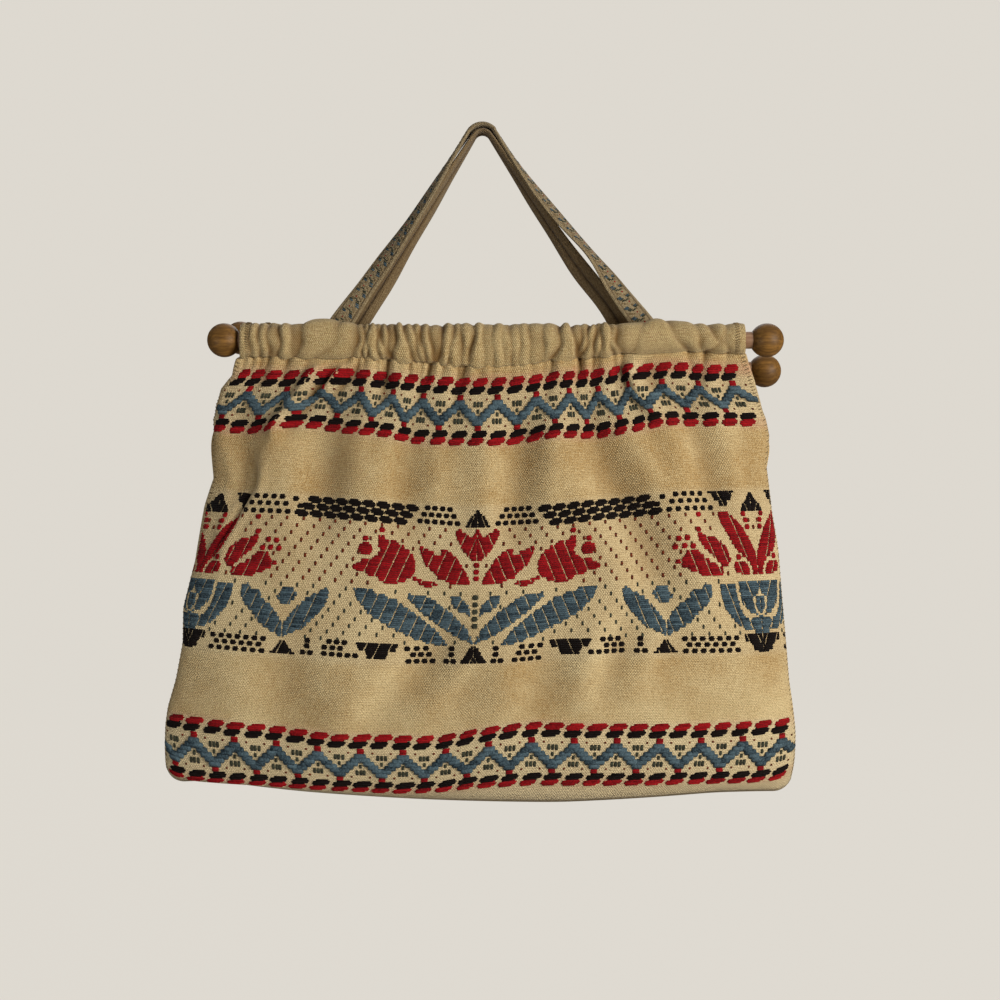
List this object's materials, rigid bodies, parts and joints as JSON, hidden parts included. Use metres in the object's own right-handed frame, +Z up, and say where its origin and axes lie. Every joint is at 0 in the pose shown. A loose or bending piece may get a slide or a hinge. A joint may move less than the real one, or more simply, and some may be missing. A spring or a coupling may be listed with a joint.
{
  "type": "gathered cloth handbag",
  "caption": "Soft gathered cloth handbag: a wide woven pouch with its mouth shirred onto turned rods with ball ends, carried by narrow strap handles that meet over a hook.",
  "frame": {"origin": "underside of the handles where they bend over a hook or a hand, middle of their width", "axes": "+Z up, against the pull of the bag; front of the bag faces -Y; +X to the right seen from the front"},
  "size_m": [0.4152, 0.063, 0.4502],
  "materials": {
    "woven_cloth": "coarse plain weave",
    "casing_cloth": "coarse plain weave, gathered",
    "strap_cloth": "folded and stitched cloth",
    "rod_wood": "bare sanded wood",
    "knob_wood": "stained and waxed wood"
  },
  "bodies": {
    "bag": {"front_panel": "woven_cloth", "back_panel": "woven_cloth", "front_casing": "casing_cloth", "back_casing": "casing_cloth", "front_handle": "strap_cloth", "back_handle": "strap_cloth"},
    "front_rod": {"front_rod": "rod_wood", "front_knob_left": "knob_wood", "front_knob_right": "knob_wood"},
    "back_rod": {"back_rod": "rod_wood", "back_knob_left": "knob_wood", "back_knob_right": "knob_wood"}
  },
  "joints": [
    {"name": "front_rod_turn", "type": "hinge", "parent": "bag", "child": "front_rod", "pos_m": [0.0075, -0.017, -0.138], "axis": [1, 0, 0], "continuous": true},
    {"name": "back_rod_turn", "type": "hinge", "parent": "bag", "child": "back_rod", "pos_m": [0.0135, 0.017, -0.144], "axis": [0.998, 0, -0.0628], "continuous": true}
  ]
}
